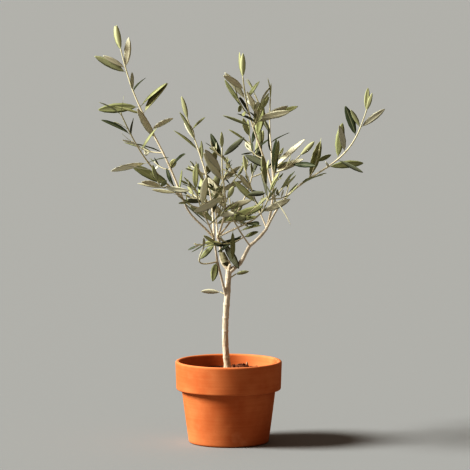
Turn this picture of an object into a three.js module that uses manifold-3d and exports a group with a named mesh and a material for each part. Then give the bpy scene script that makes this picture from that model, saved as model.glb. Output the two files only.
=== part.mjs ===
// A young olive tree in a terracotta pot: trunk, boughs and sprays of narrow leaves over a soil-filled pot.
// Millimetres, +Z up, +X right and +Y to the back, with the origin at the centre of the pot's flat underside.

import * as THREE from "three";
import { mergeVertices } from "three/addons/utils/BufferGeometryUtils.js";
import Module from "manifold-3d";

const CLEARANCE = 0.3; // gap left between two solids that rest on each other
const LEAST_DETAIL = 0.01; // slivers smaller than this, left by joins and cuts, are closed up
const FULL_TURN = 2 * Math.PI;

// Pot: thrown in terracotta, tapering to its foot, with a deep band below the rim
const POT_HEIGHT = 117;
const RIM_RADIUS = 76;
const BAND_DEPTH = 41;
const BAND_FOOT_RADIUS = 74.5;
const BAND_DROP = 1; // the band's underside slopes down this much towards its edge
const SHOULDER_RADIUS = 67;
const BASE_RADIUS = 57;
const BASE_WALL = 8;
const SHOULDER_WALL = 5.5;
const RIM_WALL = 6;
const POT_FLOOR = 10;
const LIP_ROUNDING = 2.5;
const EDGE_ROUNDING = 2;
const POT_SIDES = 40;
const BAND_FOOT = POT_HEIGHT - BAND_DEPTH;
const INNER_RIM_RADIUS = RIM_RADIUS - RIM_WALL;
const INNER_SHOULDER_RADIUS = SHOULDER_RADIUS - SHOULDER_WALL;
const INNER_BASE_RADIUS = BASE_RADIUS - BASE_WALL;

// Three drain holes round the middle of the pot's floor
const DRAIN_HOLES = 3;
const DRAIN_RADIUS = 5;
const DRAIN_CIRCLE = 28;
const DRAIN_SIDES = 12;
const FIRST_DRAIN = Math.PI / 6;

// Soil: fills the pot to a finger's width below the rim
const SOIL_DEPTH_BELOW_RIM = 15;
const SOIL_TOP = POT_HEIGHT - SOIL_DEPTH_BELOW_RIM;
const SOIL_SIDES = 36;

// Trunk: stands on a level cut at the soil and swells into a root flare there
const TRUNK_FOOT = SOIL_TOP + CLEARANCE;
const FLARE_WIDTH = 2.4;
const FLARE_HEIGHT = 7;

// Every limb and stem is a straight run from foot to tip, bent by one arc (bow) and one S-bend (sway).
// It starts at its own foot, or on the limb that it grows from: at that limb's tip, or a share (at) of the
// way along it. Its radius falls evenly from thick to thin.
const LIMBS = {
  trunk: {
    foot: [-1, 0, TRUNK_FOOT], tip: [0, 2, 247], bow: [-4, 0, 0], sway: [-1, 0, 0], thick: 4.5, thin: 4.1,
  },
  left_bough: {
    from: "trunk", tip: [-16, 8, 293], bow: [-3, 2, -2], sway: [-2, 0, -1], thick: 2.8, thin: 1.8,
  },
  right_bough: {
    from: "trunk", tip: [30, 8, 281], bow: [4, 2, -4], sway: [1, 0, -1], thick: 3, thin: 2.4,
  },
  right_middle_bough: {
    from: "right_bough", tip: [54, 10, 305], bow: [1, 0, -1], sway: [0, 0, 0], thick: 2.4, thin: 2,
  },
  right_upper_bough: {
    from: "right_middle_bough", tip: [63, 14, 359], bow: [2, 0, 0], sway: [0, 0, 0], thick: 1.9, thin: 1.4,
  },
  side_shoot: {
    from: "trunk", at: 0.7, tip: [-16, -12, 260], bow: [0, 0, 0], sway: [0, 0, 0], thick: 1.9, thin: 1.6,
  },
  side_middle_shoot: {
    from: "side_shoot", tip: [-21, -15, 294], bow: [0, 0, 0], sway: [0, 0, 0], thick: 1.6, thin: 1.5,
  },
  side_upper_shoot: {
    from: "side_middle_shoot", tip: [-65, -20, 350], bow: [-3, 0, -2], sway: [1, 0, 1], thick: 1.5, thin: 1.3,
  },
};

// Two short pruned stubs stand on the fork as part of the trunk
const STUBS = {
  side_stub: {
    foot: [0, 2, 242], tip: [8.5, -1, 250], bow: [0, 0, 0], sway: [0, 0, 0], thick: 3, thin: 2.7,
  },
  middle_stub: {
    foot: [0, 2, 244], tip: [2, -2, 255.5], bow: [0, 0, 0], sway: [0, 0, 0], thick: 2.4, thin: 1.6,
  },
};

// Each spray of foliage is one main stem with pairs of leaves and a few side twigs. Each of its joints, from
// the lowest up, is dealt out from a seed of its own, and so is each side twig. The joints start a share
// (first) of the way up the stem, turned by roll, and leaf is about the leaves' length.
const SPRAYS = {
  far_left_foliage: {
    from: "side_upper_shoot", tip: [-154, 40, 559], bow: [-4, 0, -2], sway: [3, 0, 1],
    thick: 1.4, first: 0.18, roll: 105, leaf: 48,
    joints: [1905, 6353, 92787, 5094, 83942, 68245, 78566, 2645, 8649, 37229], twigs: [1368],
  },
  near_left_foliage: {
    from: "side_upper_shoot", tip: [-150, -88, 476], bow: [-8, -6, -4], sway: [0, 0, 0],
    thick: 1.1, first: 0.22, roll: 45, leaf: 45,
    joints: [5900, 19573, 5307, 73513, 5892, 46853, 6723], twigs: [4296],
  },
  back_left_foliage: {
    from: "side_middle_shoot", tip: [-63, 90, 465], bow: [9, 15, 0], sway: [1, 0, 0],
    thick: 1.2, first: 0.3, roll: 15, leaf: 42,
    joints: [7055, 27496, 83385, 81982, 46250, 35714, 17485, 64027, 7474], twigs: [997, 1272],
  },
  left_centre_foliage: {
    from: "side_middle_shoot", tip: [-46, -55, 366], bow: [-1, -6, 0], sway: [1, 0, 0],
    thick: 1, first: 0.3, roll: 45, leaf: 45,
    joints: [415, 97478, 28217, 58374, 31370], twigs: [8648],
  },
  centre_front_foliage: {
    from: "left_bough", tip: [-9, -75, 427], bow: [7, -25, 2], sway: [3, 0, 0],
    thick: 1.3, first: 0.14, roll: 135, leaf: 45,
    joints: [3235, 86354, 44040, 74696, 54159, 62240, 32153], twigs: [6128],
  },
  crossing_foliage: {
    from: "left_bough", tip: [58, -60, 363], bow: [10, -20, -7], sway: [-2, 0, 2],
    thick: 1.2, first: 0.26, roll: 45, leaf: 42,
    joints: [54555, 3458, 9602, 19018, 4703, 15983], twigs: [3058, 3103],
  },
  back_foliage: {
    from: "left_bough", tip: [42, 135, 407], bow: [10, 20, -8], sway: [0, 0, -1],
    thick: 1.1, first: 0.3, roll: 135, leaf: 45,
    joints: [83956, 49297, 30196, 968, 7630, 88794], twigs: [6126, 6262],
  },
  inner_foliage: {
    from: "right_bough", tip: [1, -40, 334], bow: [-1, -10, 0], sway: [0, 0, 0],
    thick: 1, first: 0.3, roll: 60, leaf: 32,
    joints: [2517, 55236, 5467, 6320, 6107], twigs: [3383],
  },
  top_middle_foliage: {
    from: "right_upper_bough", tip: [20, 10, 521], bow: [-3, 10, -2], sway: [2, 0, 0],
    thick: 1.4, first: 0.3, roll: 15, leaf: 45,
    joints: [74303, 61827, 9551, 662, 15237, 10235, 17028], twigs: [2713, 7346],
  },
  back_right_foliage: {
    from: "right_upper_bough", tip: [60, 100, 484], bow: [-1, 20, -2], sway: [1, 0, 0],
    thick: 1.1, first: 0.26, roll: 30, leaf: 45,
    joints: [137, 12980, 8669, 86979, 8453, 83250, 42909], twigs: [163],
  },
  dark_cluster_foliage: {
    from: "right_upper_bough", tip: [65, -26, 398], bow: [0, -4, 0], sway: [0, 0, 0],
    thick: 1, first: 0.22, roll: 45, leaf: 45,
    joints: [78635, 67774, 5181, 79558], twigs: [8549],
  },
  far_right_foliage: {
    from: "right_middle_bough", tip: [194, -40, 478], bow: [4, -10, -3], sway: [-9, 0, 7],
    thick: 1.4, first: 0.22, roll: 45, leaf: 42,
    joints: [62907, 20373, 6418, 50190, 32451, 97567, 73497, 48740, 10517], twigs: [9118],
  },
  lower_centre_foliage: {
    from: "left_bough", tip: [-22, 45, 372], bow: [0, 10, 0], sway: [0, 0, 0],
    thick: 1, first: 0.2, roll: 165, leaf: 34,
    joints: [8722, 72384, 2606, 2442], twigs: [5757, 4116],
  },
  right_centre_foliage: {
    from: "right_middle_bough", tip: [24, 40, 385], bow: [0, 10, -4], sway: [0, 0, 0],
    thick: 1, first: 0.3, roll: 45, leaf: 34,
    joints: [41316, 2799, 6027, 1777, 14234], twigs: [5622],
  },
  left_cluster_sprig: {
    from: "side_upper_shoot", tip: [-81, -48, 377], bow: [0, -2, 0], sway: [0, 0, 0],
    thick: 1, first: 0.34, roll: 165, leaf: 36,
    joints: [27279, 49538, 90330], twigs: [],
  },
  hooked_sprig: {
    from: "side_shoot", tip: [-35, -34, 283], bow: [-15, -2, -11], sway: [0, 0, 0],
    thick: 0.9, first: 0.12, roll: 120, leaf: 26,
    joints: [90641, 86091, 5741], twigs: [],
  },
  low_left_sprig: {
    from: "side_middle_shoot", tip: [-48, -34, 288], bow: [-2, 0, -5], sway: [0, 0, 0],
    thick: 0.9, first: 0.3, roll: 15, leaf: 28,
    joints: [21649, 91011, 7722], twigs: [],
  },
  hanging_sprig: {
    from: "left_bough", tip: [5, 30, 270], bow: [1, 2, 1], sway: [0, 0, 0],
    thick: 1, first: 0.34, roll: 75, leaf: 36,
    joints: [52594, 59141, 74691], twigs: [],
  },
  fork_sprig: {
    from: "trunk", at: 0.92, tip: [9, 0, 240.5], bow: [0, 0, -1], sway: [0, 0, 0],
    thick: 0.9, first: 0.9, roll: 90, leaf: 34,
    joints: [30180], twigs: [],
  },
  trunk_sprig: {
    from: "trunk", at: 0.76, tip: [-11, 4, 214.5], bow: [0, 0, -1], sway: [0, 0, 0],
    thick: 0.9, first: 0.9, roll: 0, leaf: 34,
    joints: [5225], twigs: [],
  },
};

// Leaf pairs: opposite leaves, each pair turned a quarter from the last, smaller and closer towards the tip
const STEM_TIP_RADIUS = 0.7;
const PAIR_CROWDING = 0.92;
const LAST_PAIR = 0.985;
const QUARTER_TURN = 90;
const PAIR_SLIDE = 0.35;
const TURN_JITTER = 40;
const SIDE_JITTER = 24;
const SPREAD_RANGE = [28, 88];
const SPREAD_CLOSING = 0.7;
const SIZE_AT_FOOT = 1.12;
const SIZE_CLOSING = 0.42;
const SIZE_RANGE = [0.72, 1.28];
const TWIST_RANGE = [-90, 90];
const ARCH_RANGE = [-0.06, 0.14];
const MISSING_SHARE = 0.12;

// Side twigs: short stems from the main stem's lower nodes
const TWIG_ZONE = [0.1, 0.7];
const TWIG_TURN_JITTER = 40;
const TWIG_SPREAD = [34, 52];
const TWIG_LENGTH = [42, 66];
const TWIG_SHORTENING = 0.4;
const TWIG_SAG = 0.1;
const TWIG_PAIRS = 3;
const TWIG_FIRST_PAIR = 0.4;
const TWIG_LEAF_SHARE = 0.82;
const TWIG_RADIUS = 0.8;

// Leaf: a narrow blade on a short stalk, with a keeled rib under it
const LEAF_SLENDERNESS = 4.3;
const LEAF_THICKNESS = 0.75;
const STALK_RADIUS = 0.35;
const STALK_SHARE = 0.1;
const BLADE_FULLNESS = 0.75;

// Spacing: a leaf or twig that comes this near another spray or a limb, or strays this far, is skipped
const BEAD_STEP = 3;
const BEAD_GAP = 0.7;
const SPRAY_REACH = 75;
const LEAF_BEADS = 10;
const LEAST_BEAD = 1.2;

// Facets of the limbs, stems and leaves
const TRUNK_SIDES = 12;
const LIMB_SIDES = 9;
const LIMB_STEP = 9;
const STEM_SIDES = 5;
const STEM_STEP = 16;
const TWIG_SIDES = 4;
const LEAF_SIDES = 3;
const LEAF_RINGS = 3;

const wasm = await Module();
wasm.setup();

const vector = (values) => new THREE.Vector3(...values);
const radians = THREE.MathUtils.degToRad;

// Turns a closed geometry into a manifold solid, once its shared vertices are merged
function solid(geometry) {
  geometry.deleteAttribute("normal");
  geometry.deleteAttribute("uv");
  const merged = mergeVertices(geometry, 1e-4);
  const corners = merged.index.array;
  const kept = [];
  for (let i = 0; i < corners.length; i += 3) {
    const [a, b, c] = corners.slice(i, i + 3);
    if (a !== b && b !== c && c !== a) {
      kept.push(a, b, c);
    }
  }
  const vertProperties = new Float32Array(merged.attributes.position.array);
  return new wasm.Manifold(new wasm.Mesh({ numProp: 3, vertProperties, triVerts: new Uint32Array(kept) }));
}

// Gives a solid's largest body back as a three.js geometry
function geometryOf(body) {
  const pieces = body.simplify(LEAST_DETAIL).decompose().sort((a, b) => b.volume() - a.volume());
  const mesh = pieces[0].getMesh();
  const geometry = new THREE.BufferGeometry();
  geometry.setAttribute("position", new THREE.BufferAttribute(new Float32Array(mesh.vertProperties), 3));
  geometry.setIndex(new THREE.BufferAttribute(new Uint32Array(mesh.triVerts), 1));
  geometry.computeVertexNormals();
  return geometry;
}

// Moves every vertex of a geometry by a rule
function reshape(geometry, rule) {
  const position = geometry.attributes.position;
  const vertex = new THREE.Vector3();
  for (let i = 0; i < position.count; i++) {
    vertex.fromBufferAttribute(position, i);
    const moved = rule(vertex);
    position.setXYZ(i, moved.x, moved.y, moved.z);
  }
  return geometry;
}

// The line of a limb or stem: straight from foot to tip, plus one arc and one S-bend
function pointAlong(limb, t) {
  return new THREE.Vector3()
    .lerpVectors(limb.foot, limb.tip, t)
    .addScaledVector(limb.bow, Math.sin(Math.PI * t))
    .addScaledVector(limb.sway, Math.sin(FULL_TURN * t));
}

// The axes at a point of a limb: along it, backwards across it and sideways across it
function axesAlong(limb, t) {
  const step = 1e-3;
  const along = pointAlong(limb, t + step).sub(pointAlong(limb, t - step)).normalize();
  const back = new THREE.Vector3(0, 1, 0);
  back.addScaledVector(along, -along.y).normalize();
  const side = new THREE.Vector3().crossVectors(along, back);
  return { along, back, side };
}

const lengthOf = (limb) => limb.foot.distanceTo(limb.tip);
const radiusAlong = (limb, t) => limb.thick + (limb.thin - limb.thick) * t;

// The trunk's radius also swells into the root flare towards the soil
function trunkRadius(trunk, t) {
  return radiusAlong(trunk, t) + FLARE_WIDTH * Math.exp((-t * lengthOf(trunk)) / FLARE_HEIGHT);
}

// A limb's solid: a cylinder wrapped round its line. A grown one is fatter and longer by the given amount.
function limbSolid(limb, sides, step, growth = 0) {
  const length = lengthOf(limb);
  const rings = Math.max(2, Math.round(length / step));
  const cylinder = new THREE.CylinderGeometry(1, 1, 1, sides, rings);
  const reach = growth / length;
  return solid(reshape(cylinder, (vertex) => {
    const t = (vertex.y + 0.5) * (1 + 2 * reach) - reach;
    const { back, side } = axesAlong(limb, t);
    const radius = radiusAlong(limb, THREE.MathUtils.clamp(t, 0, 1)) + growth;
    return pointAlong(limb, t)
      .addScaledVector(side, vertex.x * radius)
      .addScaledVector(back, vertex.z * radius);
  }));
}

// The trunk's solid stands on a level cut, so each of its rings is level too. The stubs are joined to it.
function trunkSolid(trunk, stubs, growth = 0) {
  const length = lengthOf(trunk);
  const cylinder = new THREE.CylinderGeometry(1, 1, 1, TRUNK_SIDES, Math.round(length / LIMB_STEP));
  const reach = growth / length;
  const stem = solid(reshape(cylinder, (vertex) => {
    const t = (vertex.y + 0.5) * (1 + 2 * reach) - reach;
    const radius = trunkRadius(trunk, THREE.MathUtils.clamp(t, 0, 1)) + growth;
    return pointAlong(trunk, t).add(new THREE.Vector3(vertex.x * radius, -vertex.z * radius, 0));
  }));
  return wasm.Manifold.union([stem, ...stubs.map((stub) => limbSolid(stub, LIMB_SIDES, LIMB_STEP, growth))]);
}

// Half the width along a leaf: the stalk's radius at its foot, fullest at mid blade, nothing at the tip
function halfWidth(leaf, s) {
  const blade = Math.max(0, (s - STALK_SHARE) / (1 - STALK_SHARE));
  const full = leaf.length / LEAF_SLENDERNESS / 2;
  return STALK_RADIUS * (1 - s) + full * Math.pow(4 * blade * (1 - blade), BLADE_FULLNESS);
}

// The leaf's rib: straight out from the stem, arching away from its upper face
function ribPoint(leaf, s) {
  return leaf.foot.clone()
    .addScaledVector(leaf.out, leaf.length * s)
    .addScaledVector(leaf.face, -leaf.arch * leaf.length * s * s);
}

// A leaf's solid: a three-sided rod whose two upper corners are the blade's edges and the lower one its rib,
// thickest a third of the way out and thinning to nothing at the tip
function leafSolid(leaf) {
  const rod = new THREE.CylinderGeometry(1, 1, 1, LEAF_SIDES, LEAF_RINGS, false, Math.PI);
  const across = new THREE.Vector3().crossVectors(leaf.out, leaf.face);
  const edge = Math.sin(FULL_TURN / LEAF_SIDES);
  return solid(reshape(rod, (vertex) => {
    const s = vertex.y + 0.5;
    const wide = (vertex.x / edge) * halfWidth(leaf, s);
    const deep = vertex.z * LEAF_THICKNESS * (0.5 + 2 * s) * (1 - s);
    return ribPoint(leaf, s).addScaledVector(across, wide).addScaledVector(leaf.face, deep);
  }));
}

// A repeatable stream of random numbers from a seed: a linear congruential generator
function streamOf(seed) {
  const modulus = 2 ** 32;
  let state = (seed * 2654435761) % modulus;
  return (low, high) => {
    state = (1664525 * state + 1013904223) % modulus;
    return low + (high - low) * (state / modulus);
  };
}

// The joint that a stem's pair k stands on, with the leaves that it bears, dealt out from the stream
function jointOf(stem, k, random) {
  const topmost = k === stem.pairs - 1;
  const rank = stem.pairs > 1 ? Math.pow(k / (stem.pairs - 1), PAIR_CROWDING) : 1;
  const slide = topmost ? 0 : random(-PAIR_SLIDE, PAIR_SLIDE) / stem.pairs;
  const t = stem.first + (1 - stem.first) * (rank * LAST_PAIR + slide);
  const foot = pointAlong(stem, t);
  const { along, back, side } = axesAlong(stem, t);
  const turn = stem.roll + QUARTER_TURN * k + random(-TURN_JITTER, TURN_JITTER);
  const leaves = [];
  for (const half of [0, 180]) {
    const around = radians(turn + half + random(-SIDE_JITTER, SIDE_JITTER));
    const spread = radians(random(...SPREAD_RANGE) * (1 - SPREAD_CLOSING * t ** 4));
    const length = stem.leaf * (SIZE_AT_FOOT - SIZE_CLOSING * t ** 3) * random(...SIZE_RANGE);
    const twist = radians(random(...TWIST_RANGE));
    const arch = random(...ARCH_RANGE);
    const missing = random(0, 1) < MISSING_SHARE;
    const out = new THREE.Vector3()
      .addScaledVector(along, Math.cos(spread))
      .addScaledVector(side, Math.sin(spread) * Math.cos(around))
      .addScaledVector(back, Math.sin(spread) * Math.sin(around));
    const face = along.clone().addScaledVector(out, -along.dot(out)).normalize();
    face.applyAxisAngle(out, twist);
    if (!missing) {
      leaves.push({ foot, out, face, length, arch });
    }
  }
  return { t, foot, along, back, side, turn, leaves };
}

// A side twig from one joint of the main stem, a small stem in its own right with leaves of its own
function sideTwig(stem, joints, random) {
  const joint = joints[Math.floor(random(...TWIG_ZONE) * joints.length)];
  const jitter = random(-TWIG_TURN_JITTER, TWIG_TURN_JITTER);
  const half = random(0, 1) < 0.5 ? 180 : 0;
  const around = radians(joint.turn + jitter + half);
  const spread = radians(random(...TWIG_SPREAD));
  const length = random(...TWIG_LENGTH) * (1 - TWIG_SHORTENING * joint.t);
  const tip = joint.foot.clone()
    .addScaledVector(joint.along, length * Math.cos(spread))
    .addScaledVector(joint.side, length * Math.sin(spread) * Math.cos(around))
    .addScaledVector(joint.back, length * Math.sin(spread) * Math.sin(around));
  const twig = {
    foot: joint.foot, tip, bow: new THREE.Vector3(0, 0, -TWIG_SAG * length), sway: new THREE.Vector3(),
    thick: TWIG_RADIUS, thin: STEM_TIP_RADIUS,
    pairs: TWIG_PAIRS, first: TWIG_FIRST_PAIR, roll: random(0, 180), leaf: stem.leaf * TWIG_LEAF_SHARE,
  };
  twig.leaves = [];
  for (let k = 0; k < TWIG_PAIRS; k++) {
    twig.leaves.push(...jointOf(twig, k, random).leaves);
  }
  return twig;
}

// Beads strung along a limb or stem stand for its thickness where neighbours are kept apart
function limbBeads(limb) {
  const count = Math.ceil(lengthOf(limb) / BEAD_STEP);
  return Array.from({ length: count + 1 }, (_, i) => ({
    centre: pointAlong(limb, i / count), radius: radiusAlong(limb, i / count),
  }));
}

function leafBeads(leaf) {
  return Array.from({ length: LEAF_BEADS }, (_, i) => {
    const s = (i + 1) / LEAF_BEADS;
    return { centre: ribPoint(leaf, s), radius: Math.max(LEAST_BEAD, halfWidth(leaf, s)) };
  });
}

// Grows every spray: all main stems first, then each spray's twigs and leaves where there is room for them
function growSprays(limbs, sprays) {
  const taken = [];
  const take = (beads, owner) => taken.push(...beads.map((bead) => ({ ...bead, owner })));
  for (const stem of [...limbs, ...sprays]) {
    take(limbBeads(stem), stem);
  }
  const hasRoom = (beads, spray, stemBeads) => beads.every((bead) => {
    const apart = (other) => other.centre.distanceTo(bead.centre) > other.radius + bead.radius + BEAD_GAP;
    const inReach = stemBeads.some((other) => other.centre.distanceTo(bead.centre) < SPRAY_REACH);
    return inReach && taken.every((other) => other.owner === spray || apart(other));
  });
  for (const spray of sprays) {
    const stemBeads = limbBeads(spray);
    spray.pairs = spray.joints.length;
    const joints = spray.joints.map((seed, k) => jointOf(spray, k, streamOf(seed)));
    const leaves = joints.flatMap((joint) => joint.leaves);
    spray.sideTwigs = [];
    for (const seed of spray.twigs) {
      const twig = sideTwig(spray, joints, streamOf(seed));
      const beads = limbBeads(twig);
      if (hasRoom(beads, spray, stemBeads)) {
        take(beads, spray);
        spray.sideTwigs.push(twig);
        leaves.push(...twig.leaves);
      }
    }
    spray.leaves = leaves.filter((leaf) => {
      const beads = leafBeads(leaf);
      const fits = hasRoom(beads, spray, stemBeads);
      if (fits) {
        take(beads, spray);
      }
      return fits;
    });
  }
}

// Fills in a table's rows: each one's foot, from the limb that it grows from, and its vectors
function resolve(rows, grown) {
  return Object.entries(rows).map(([name, row]) => {
    const foot = row.from ? pointAlong(grown[row.from], row.at ?? 1) : vector(row.foot);
    const thin = row.thin ?? STEM_TIP_RADIUS;
    const [tip, bow, sway] = [row.tip, row.bow, row.sway].map(vector);
    grown[name] = { ...row, name, foot, tip, bow, sway, thin };
    return grown[name];
  });
}

// The pot's outline from the middle of its underside, out and up over the lip and down inside, turned round Z
function potSolid() {
  const edgeRadius = BASE_RADIUS + ((SHOULDER_RADIUS - BASE_RADIUS) * EDGE_ROUNDING) / BAND_FOOT;
  const outline = new THREE.Path();
  outline.moveTo(0, 0);
  outline.lineTo(BASE_RADIUS - EDGE_ROUNDING, 0);
  outline.quadraticCurveTo(BASE_RADIUS, 0, edgeRadius, EDGE_ROUNDING);
  outline.lineTo(SHOULDER_RADIUS, BAND_FOOT + BAND_DROP);
  outline.lineTo(BAND_FOOT_RADIUS - EDGE_ROUNDING, BAND_FOOT);
  outline.quadraticCurveTo(BAND_FOOT_RADIUS, BAND_FOOT, BAND_FOOT_RADIUS, BAND_FOOT + EDGE_ROUNDING);
  outline.lineTo(RIM_RADIUS, POT_HEIGHT - LIP_ROUNDING);
  outline.quadraticCurveTo(RIM_RADIUS, POT_HEIGHT, RIM_RADIUS - LIP_ROUNDING, POT_HEIGHT);
  outline.lineTo(INNER_RIM_RADIUS + LIP_ROUNDING, POT_HEIGHT);
  outline.quadraticCurveTo(INNER_RIM_RADIUS, POT_HEIGHT, INNER_RIM_RADIUS, POT_HEIGHT - LIP_ROUNDING);
  outline.lineTo(INNER_SHOULDER_RADIUS, BAND_FOOT);
  outline.lineTo(INNER_BASE_RADIUS, POT_FLOOR);
  outline.lineTo(0, POT_FLOOR);
  const lathe = new THREE.LatheGeometry(outline.getPoints(2), POT_SIDES);
  lathe.rotateX(Math.PI / 2);
  let pot = solid(lathe);
  for (let i = 0; i < DRAIN_HOLES; i++) {
    const drill = new THREE.CylinderGeometry(DRAIN_RADIUS, DRAIN_RADIUS, 3 * POT_FLOOR, DRAIN_SIDES);
    drill.rotateX(Math.PI / 2);
    drill.translate(DRAIN_CIRCLE, 0, 0);
    drill.rotateZ((i / DRAIN_HOLES) * FULL_TURN + FIRST_DRAIN);
    pot = pot.subtract(solid(drill));
  }
  return pot;
}

// The soil is the inside of the pot, drawn in clear of the wall, up to the soil's level
function soilSolid() {
  const wallRise = POT_HEIGHT - LIP_ROUNDING - BAND_FOOT;
  const slope = (INNER_RIM_RADIUS - INNER_SHOULDER_RADIUS) / wallRise;
  const topRadius = INNER_SHOULDER_RADIUS + slope * (SOIL_TOP - BAND_FOOT);
  const gap = 2 * CLEARANCE;
  const outline = [
    new THREE.Vector2(0, POT_FLOOR + CLEARANCE),
    new THREE.Vector2(INNER_BASE_RADIUS - gap, POT_FLOOR + CLEARANCE),
    new THREE.Vector2(INNER_SHOULDER_RADIUS - gap, BAND_FOOT),
    new THREE.Vector2(topRadius - gap, SOIL_TOP),
    new THREE.Vector2(0, SOIL_TOP),
  ];
  const lathe = new THREE.LatheGeometry(outline, SOIL_SIDES);
  lathe.rotateX(Math.PI / 2);
  return solid(lathe);
}

const FINISHES = {
  terracotta: new THREE.MeshStandardMaterial({ color: 0xc8663a, roughness: 0.85, metalness: 0 }),
  soil: new THREE.MeshStandardMaterial({ color: 0x4a2a1c, roughness: 1, metalness: 0 }),
  bark: new THREE.MeshStandardMaterial({ color: 0xcbbca0, roughness: 0.8, metalness: 0 }),
  foliage: new THREE.MeshStandardMaterial({ color: 0x74795a, roughness: 0.6, metalness: 0 }),
};

const group = new THREE.Group();

function addPiece(name, body, finish) {
  const mesh = new THREE.Mesh(geometryOf(body), finish);
  mesh.name = name;
  group.add(mesh);
}

addPiece("terracotta_pot", potSolid(), FINISHES.terracotta);
addPiece("potting_soil", soilSolid(), FINISHES.soil);

const grown = {};
const [trunk, ...boughs] = resolve(LIMBS, grown);
const stubs = resolve(STUBS, grown);
const sprays = resolve(SPRAYS, grown);
growSprays([trunk, ...boughs], sprays);

// Each limb and spray is cut clear of those made before it, then leaves its own grown shape to cut the next
const cutters = [];
const cutClear = (body) => cutters.reduce((rest, cutter) => rest.subtract(cutter), body);

addPiece(trunk.name, trunkSolid(trunk, stubs), FINISHES.bark);
cutters.push(trunkSolid(trunk, stubs, CLEARANCE));
for (const bough of boughs) {
  addPiece(bough.name, cutClear(limbSolid(bough, LIMB_SIDES, LIMB_STEP)), FINISHES.bark);
  cutters.push(limbSolid(bough, LIMB_SIDES, LIMB_STEP, CLEARANCE));
}
for (const spray of sprays) {
  const stem = limbSolid(spray, STEM_SIDES, STEM_STEP);
  const twigs = spray.sideTwigs.map((twig) => limbSolid(twig, TWIG_SIDES, STEM_STEP));
  const body = wasm.Manifold.union([stem, ...twigs, ...spray.leaves.map(leafSolid)]);
  addPiece(spray.name, cutClear(body), FINISHES.foliage);
  cutters.push(limbSolid(spray, STEM_SIDES, STEM_STEP, CLEARANCE));
}

export default group;
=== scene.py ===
import math

import bpy
import numpy as np
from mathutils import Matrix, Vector


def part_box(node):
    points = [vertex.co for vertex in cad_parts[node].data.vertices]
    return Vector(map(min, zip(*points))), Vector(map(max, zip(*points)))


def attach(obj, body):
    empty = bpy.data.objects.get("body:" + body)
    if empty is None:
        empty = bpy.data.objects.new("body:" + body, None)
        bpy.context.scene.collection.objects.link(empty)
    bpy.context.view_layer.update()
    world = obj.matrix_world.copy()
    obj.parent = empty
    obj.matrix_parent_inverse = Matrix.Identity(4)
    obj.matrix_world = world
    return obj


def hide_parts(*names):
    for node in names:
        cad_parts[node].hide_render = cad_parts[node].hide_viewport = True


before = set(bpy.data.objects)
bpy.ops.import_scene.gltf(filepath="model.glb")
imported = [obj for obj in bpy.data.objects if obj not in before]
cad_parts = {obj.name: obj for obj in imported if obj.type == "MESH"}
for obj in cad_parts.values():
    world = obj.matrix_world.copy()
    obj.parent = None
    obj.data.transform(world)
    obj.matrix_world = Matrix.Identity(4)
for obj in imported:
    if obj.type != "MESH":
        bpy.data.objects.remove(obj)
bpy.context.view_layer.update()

# Terracotta pot: red clay thrown on a wheel, fired and left unglazed. Its wall tapers to a flat foot, a deep
# band with a rounded lip strengthens the rim, and three drain holes go through the floor.
MM = 0.001
LATTICE = 32
POT_SIDES = 192
POT_OUTLINE = [
    (0, 0, 0), (57, 0, 3.2), (67, 77, 1), (74.5, 76, 2.6), (76, 117, 3),
    (70, 117, 3), (61.5, 76, 8), (49, 10, 5), (0, 10, 0),
]  # radius, height and rounding of each corner, from the middle of the underside to the middle of the floor
DRAIN_RADIUS = 5
DRAIN_CIRCLE = 28
DRAIN_TURNS = (30, 150, 270)
DRAIN_SIDES = 47  # odd, so that no corner of a hole falls on an edge of the pot's mesh
THROWING_RINGS = 0.05
WALL_WOBBLE = 0.22
CLAY_BODY = (0.58, 0.232, 0.102, 1)
CLAY_DEEP = (0.46, 0.134, 0.045, 1)
# pale bloom, a real salt film on the clay, also used for the painted highlight along the lip
CLAY_BLOOM_AND_HIGHLIGHT = (0.70, 0.36, 0.21, 1)


def unit(vectors):
    """Each vector divided by its own length."""
    return vectors / np.linalg.norm(vectors, axis=-1, keepdims=True)


def lumps(points, size, seed):
    """Smooth relief from -1 to 1: chance heights on a lattice `size` apart, eased between its neighbours."""
    table = np.random.default_rng(seed).uniform(-1, 1, (LATTICE, LATTICE, LATTICE))
    cell = np.floor(points / size).astype(int)
    ease = points / size - cell
    ease = ease * ease * (3 - 2 * ease)
    relief = 0
    for corner in np.ndindex(2, 2, 2):
        x, y, z = ((cell + corner) % LATTICE).T
        relief = relief + np.prod(np.where(corner, ease, 1 - ease), axis=1) * table[x, y, z]
    return relief


def rounded(corners, steps=6, spacing=1.6):
    """An outline with rounded corners: near each corner a parabola leaves one side and meets the next one
    `rounding` away from it, and the straight runs are divided evenly, about `spacing` apart."""
    spots, rounding = np.split(np.array(corners, float), [2], axis=1)
    start = spots + rounding * unit(np.roll(spots, 1, axis=0) - spots)
    end = spots + rounding * unit(np.roll(spots, -1, axis=0) - spots)
    s = np.linspace(0, 1, steps)[None, :, None]
    bends = start[:, None] * (1 - s) ** 2 + 2 * spots[:, None] * s * (1 - s) + end[:, None] * s ** 2
    line = bends.reshape(-1, 2)
    runs = np.linalg.norm(np.diff(line, axis=0), axis=1)
    line = line[np.append(runs > 1e-6, True)]
    runs = np.linalg.norm(np.diff(line, axis=0), axis=1)
    divided = [
        np.linspace(here, there, math.ceil(run / spacing), endpoint=False)
        for here, there, run in zip(line[:-1], line[1:], runs)
    ]
    return np.concatenate(divided + [line[-1:]])


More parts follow.
